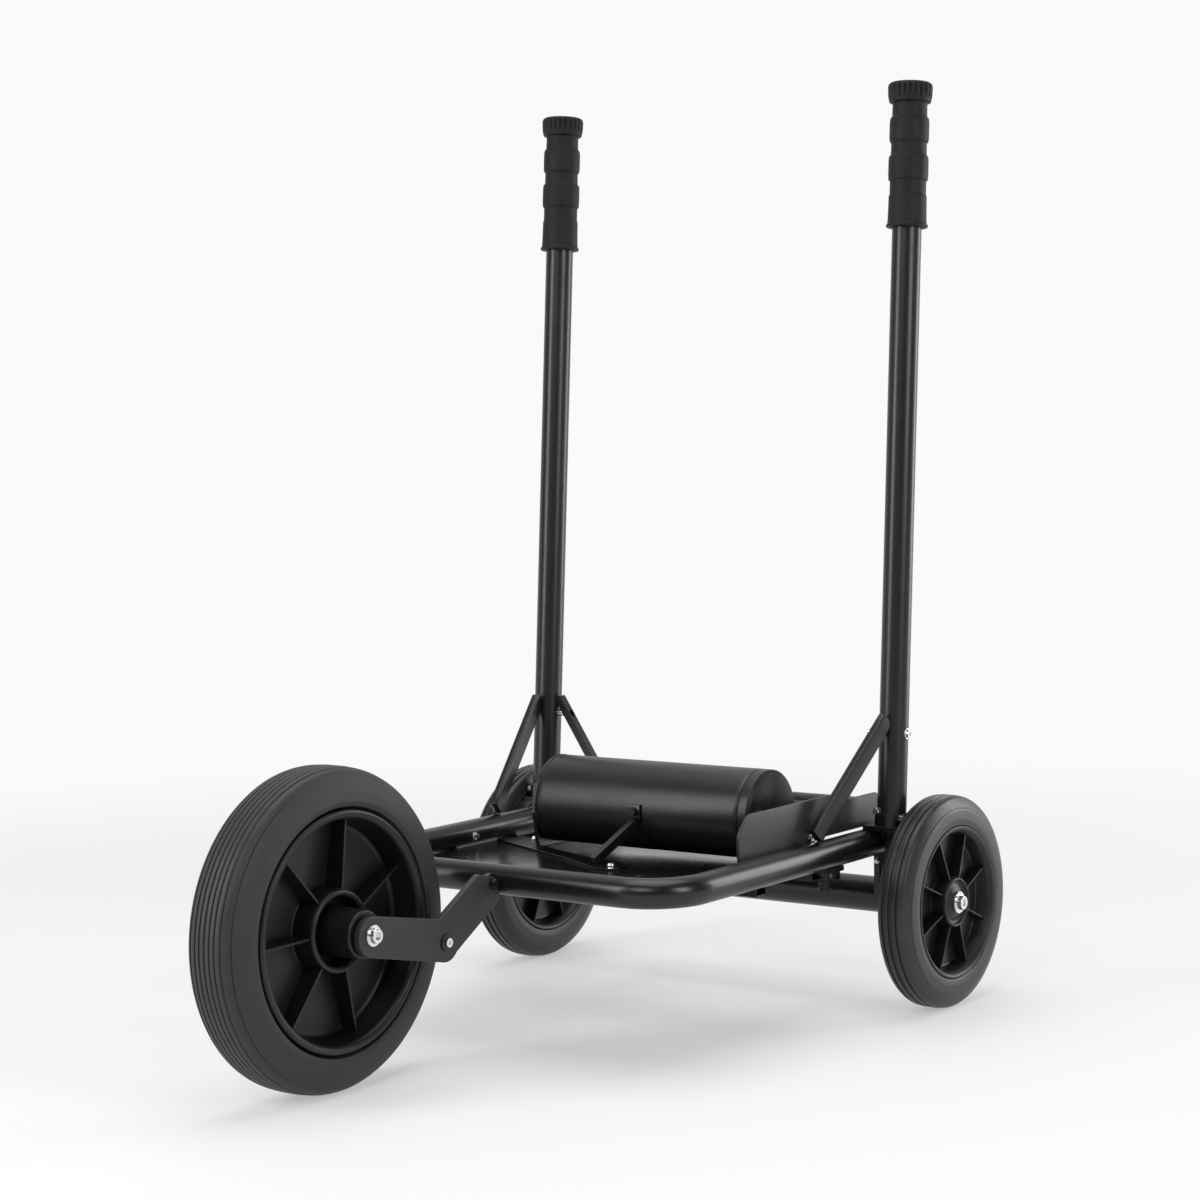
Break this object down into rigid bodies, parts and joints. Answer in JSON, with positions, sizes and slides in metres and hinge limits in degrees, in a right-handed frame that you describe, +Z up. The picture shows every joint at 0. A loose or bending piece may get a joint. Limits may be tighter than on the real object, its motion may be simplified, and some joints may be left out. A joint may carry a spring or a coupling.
{
  "type": "wheeled push sled",
  "caption": "Low black push sled on wheels: bent-tube frame with a resistance drum, a single arm-held front wheel, and an upright push pole with a rubber grip on each side at the rear.",
  "frame": {"origin": "on the ground under the middle of the bounding box", "axes": "+Z up, front wheel towards -Y, the two push poles at the +Y end, +X to the side that carries the side plate"},
  "size_m": [0.668, 1, 1.1026],
  "materials": {
    "frame_powder_coat": "satin black powder coat with a fine orange-peel grain",
    "pole_powder_coat": "satin black powder coat, faint lengthwise handling marks",
    "deck_gloss_coat": "semi-gloss black coat on thin sheet steel",
    "drum_powder_coat": "smooth satin black coat",
    "arm_powder_coat": "fine textured matt black coat on flat plate",
    "grip_rubber": "moulded black rubber with soft bands",
    "tyre_rubber": "dull dark grey solid rubber, grooved tread",
    "rim_plastic": "moulded black nylon, slightly shiny edges",
    "black_plastic": "moulded black plastic",
    "zinc_fasteners": "bright zinc plated",
    "bright_steel": "ground bright steel",
    "pulley_aluminium": "turned aluminium",
    "rotor_copper": "plain copper alloy",
    "belt_rubber": "black rubber belt"
  },
  "bodies": {
    "chassis": {"main_frame_tube": "frame_powder_coat", "rail_plug_left": "black_plastic", "rail_plug_right": "black_plastic", "front_cross_bar": "frame_powder_coat", "rear_cross_bar": "frame_powder_coat", "rear_cross_tube": "frame_powder_coat", "axle_housing_left": "frame_powder_coat", "axle_housing_right": "frame_powder_coat", "axle_bracket_left": "frame_powder_coat", "axle_bracket_right": "frame_powder_coat", "pole_foot_left": "frame_powder_coat", "pole_foot_right": "frame_powder_coat", "push_pole_left": "pole_powder_coat", "push_pole_right": "pole_powder_coat", "grip_left": "grip_rubber", "grip_right": "grip_rubber", "grip_cap_left": "grip_rubber", "grip_cap_right": "grip_rubber", "forward_brace_left": "frame_powder_coat", "forward_brace_right": "frame_powder_coat", "inward_brace": "frame_powder_coat", "pole_bolts": "zinc_fasteners", "foot_bolts": "zinc_fasteners", "deck_plate": "deck_gloss_coat", "deck_strap": "deck_gloss_coat", "deck_bolts": "zinc_fasteners", "drum_strut": "frame_powder_coat", "strut_clamp": "frame_powder_coat", "side_plate": "frame_powder_coat", "side_plate_bolt": "zinc_fasteners", "drum_shell": "drum_powder_coat", "drum_cap_left": "drum_powder_coat", "drum_cap_right": "drum_powder_coat", "drive_plate": "frame_powder_coat", "drum_hanger": "frame_powder_coat", "rail_gland": "black_plastic", "arm_lug": "frame_powder_coat", "front_arm": "arm_powder_coat", "knee_washer": "arm_powder_coat", "knee_bolt": "zinc_fasteners", "top_arm_bolt": "arm_powder_coat", "front_axle": "zinc_fasteners", "axle_bearings": "bright_steel", "rotor_bearings": "bright_steel", "drive_belt": "belt_rubber"},
    "front_wheel": {"front_tyre": "tyre_rubber", "front_rim": "rim_plastic", "front_bearings": "bright_steel"},
    "rear_axle_set": {"rear_axle": "bright_steel", "rear_tyre_left": "tyre_rubber", "rear_tyre_right": "tyre_rubber", "rear_rim_left": "rim_plastic", "rear_rim_right": "rim_plastic", "rear_hub_bolts": "zinc_fasteners", "axle_pulley": "pulley_aluminium"},
    "rotor": {"brake_rotor": "rotor_copper", "rotor_pulley": "pulley_aluminium"}
  },
  "joints": [
    {"name": "front_wheel_spin", "type": "hinge", "parent": "chassis", "child": "front_wheel", "pos_m": [-0.061, -0.325, 0.175], "axis": [1, 0, 0], "continuous": true},
    {"name": "rear_axle_spin", "type": "hinge", "parent": "chassis", "child": "rear_axle_set", "pos_m": [0, 0.373, 0.127], "axis": [1, 0, 0], "continuous": true},
    {"name": "rotor_spin", "type": "hinge", "parent": "chassis", "child": "rotor", "pos_m": [0, 0.193, 0.2455], "axis": [1, 0, 0], "continuous": true}
  ],
  "couplings": [
    {"joint": "rotor_spin", "follows": "rear_axle_spin", "ratio": 2.489}
  ]
}
